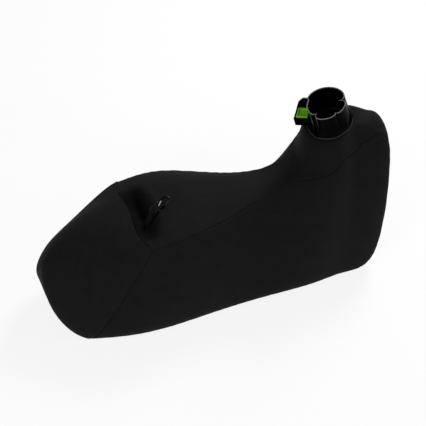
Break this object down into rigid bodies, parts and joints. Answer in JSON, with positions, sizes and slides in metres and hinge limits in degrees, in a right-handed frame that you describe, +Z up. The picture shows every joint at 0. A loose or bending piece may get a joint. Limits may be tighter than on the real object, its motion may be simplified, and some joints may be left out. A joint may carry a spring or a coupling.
{
  "type": "leaf blower vacuum collection bag",
  "caption": "Long black fabric collection bag for a blower vacuum, with a stiff lobed inlet collar and press latch, a snap hook on a webbing tab and a zipped rear face.",
  "frame": {"origin": "on the underside of the base panel, which rests on the ground, on the middle plane, 378 mm behind the front of the floor seam", "axes": "+X from the nose to the zipped rear face, +Z up, the left side panel on -Y"},
  "size_m": [0.9061, 0.3144, 0.5191],
  "materials": {
    "sack_fabric": "matt woven polyester, coated inside",
    "collar_gloss": "glossy injection moulding",
    "hook_gloss": "glossy injection moulding",
    "button_lime": "lime green moulding, satin gloss",
    "clamp_plastic": "fine texture",
    "gasket_rubber": "matt sheet rubber",
    "webbing": "polyester webbing",
    "zip_tape": "herringbone zip tape",
    "zip_teeth": "moulded teeth",
    "zip_metal": "black enamelled zinc casting",
    "pin_steel": "plain steel"
  },
  "bodies": {
    "bag": {"nose_panel": "sack_fabric", "top_panel": "sack_fabric", "side_panel_left": "sack_fabric", "side_panel_right": "sack_fabric", "base_panel": "sack_fabric", "rear_panel_left": "sack_fabric", "rear_panel_right": "sack_fabric", "collar_gasket": "gasket_rubber", "collar_tube": "collar_gloss", "clamp_ring": "clamp_plastic", "clamp_screw_1": "pin_steel", "clamp_screw_2": "pin_steel", "clamp_screw_3": "pin_steel", "clamp_screw_4": "pin_steel", "clamp_screw_5": "pin_steel", "clamp_screw_6": "pin_steel", "latch_housing": "collar_gloss", "latch_pin": "pin_steel", "latch_spring": "pin_steel", "hook_webbing": "webbing", "zip_tape_left": "zip_tape", "zip_tape_right": "zip_tape", "zip_teeth_left": "zip_teeth", "zip_teeth_right": "zip_teeth", "zip_top_stop_left": "zip_metal", "zip_top_stop_right": "zip_metal", "zip_bottom_stop": "zip_metal"},
    "latch": {"latch_button": "button_lime"},
    "hook": {"hook_body": "hook_gloss", "hook_gate_pin": "pin_steel", "hook_gate_spring": "pin_steel"},
    "gate": {"hook_gate": "hook_gloss"},
    "slider": {"zip_slider": "zip_metal"},
    "pull": {"zip_pull": "zip_metal"}
  },
  "joints": [
    {"name": "latch_press", "type": "hinge", "parent": "bag", "child": "latch", "pos_m": [0.23984, 0.03131, 0.44326], "axis": [-0.5426, -0.829, -0.1353], "range_deg": [0, 10], "stiffness_Nm_per_rad": 1, "springref_deg": -5.73, "deforming": ["latch_spring"]},
    {"name": "hook_tilt", "type": "hinge", "parent": "bag", "child": "hook", "pos_m": [-0.188, -0.04, 0.31874], "axis": [0, -1, 0], "range_deg": [-10, 110]},
    {"name": "gate_swing", "type": "hinge", "parent": "hook", "child": "gate", "pos_m": [-0.16961, -0.0299, 0.33713], "axis": [0.7071, 0, -0.7071], "range_deg": [0, 25], "stiffness_Nm_per_rad": 0.1, "springref_deg": -34.38, "deforming": ["hook_gate_spring"]},
    {"name": "zip_slide", "type": "slide", "parent": "bag", "child": "slider", "axis": [-0.1257, 0, -0.9921], "range_m": [0, 0.179]},
    {"name": "pull_swing", "type": "hinge", "parent": "slider", "child": "pull", "pos_m": [0.43309, 0, 0.30232], "axis": [0, -1, 0], "range_deg": [-3, 150]}
  ]
}
